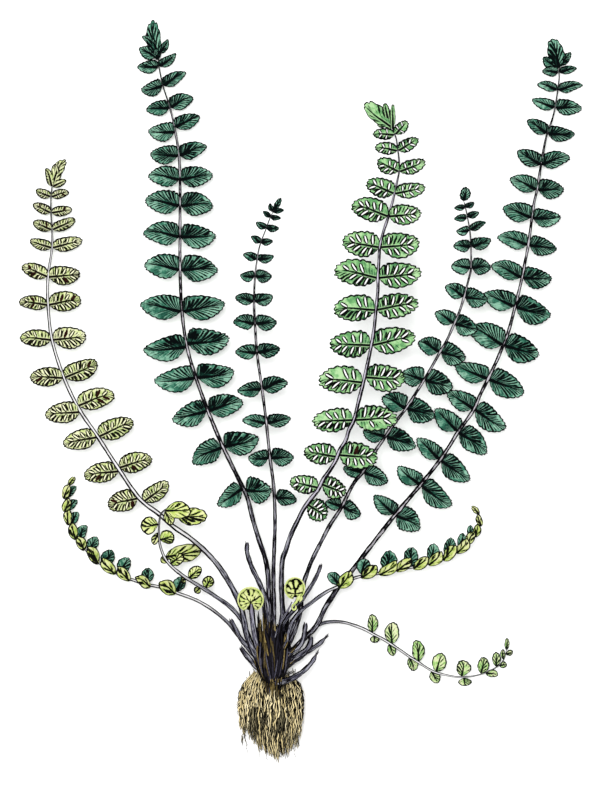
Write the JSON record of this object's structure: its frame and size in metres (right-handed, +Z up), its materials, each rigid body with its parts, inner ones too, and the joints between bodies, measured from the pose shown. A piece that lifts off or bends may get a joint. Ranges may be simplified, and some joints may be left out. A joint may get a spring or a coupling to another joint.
{
  "type": "bare-root maidenhair spleenwort fern",
  "caption": "Small wall fern lying as lifted: slender dark stalks with paired rounded leaflets, coiled young fronds, old stalk stubs, a scaly crown and a tuft of fine roots.",
  "frame": {"origin": "middle of the flat resting area under the root tuft, on the surface that the fern lies on", "axes": "+Y from the roots towards the frond tips, +Z up away from the surface, +X to the right as seen from above"},
  "size_m": [0.135, 0.1778, 0.0314],
  "materials": {
    "frond_dark_green": "satin",
    "frond_mid_green": "satin",
    "frond_pale_green": "satin",
    "frond_light_green": "satin",
    "frond_young_green": "satin",
    "stalk_dark": "satin",
    "crown_dark": "matte",
    "root_straw": "matte"
  },
  "bodies": {
    "root": {"crown": "crown_dark", "crozier_left": "frond_young_green", "crozier_right": "frond_young_green", "frond_fertile_middle": "frond_mid_green", "frond_low_left": "frond_young_green", "frond_low_right": "frond_young_green", "frond_pale_left": "frond_pale_green", "frond_short_middle": "frond_dark_green", "frond_slender_right": "frond_dark_green", "frond_tall_left": "frond_dark_green", "frond_tall_right": "frond_dark_green", "frond_trailing_right": "frond_light_green", "frond_young_curled": "frond_young_green", "root_tuft": "root_straw", "stipe_stub_1": "stalk_dark", "stipe_stub_2": "stalk_dark", "stipe_stub_3": "stalk_dark", "stipe_stub_4": "stalk_dark", "stipe_stub_5": "stalk_dark", "stipe_stub_6": "stalk_dark", "stipe_stub_7": "stalk_dark", "stipe_stub_8": "stalk_dark", "stipe_stub_9": "stalk_dark"}
  },
  "joints": []
}
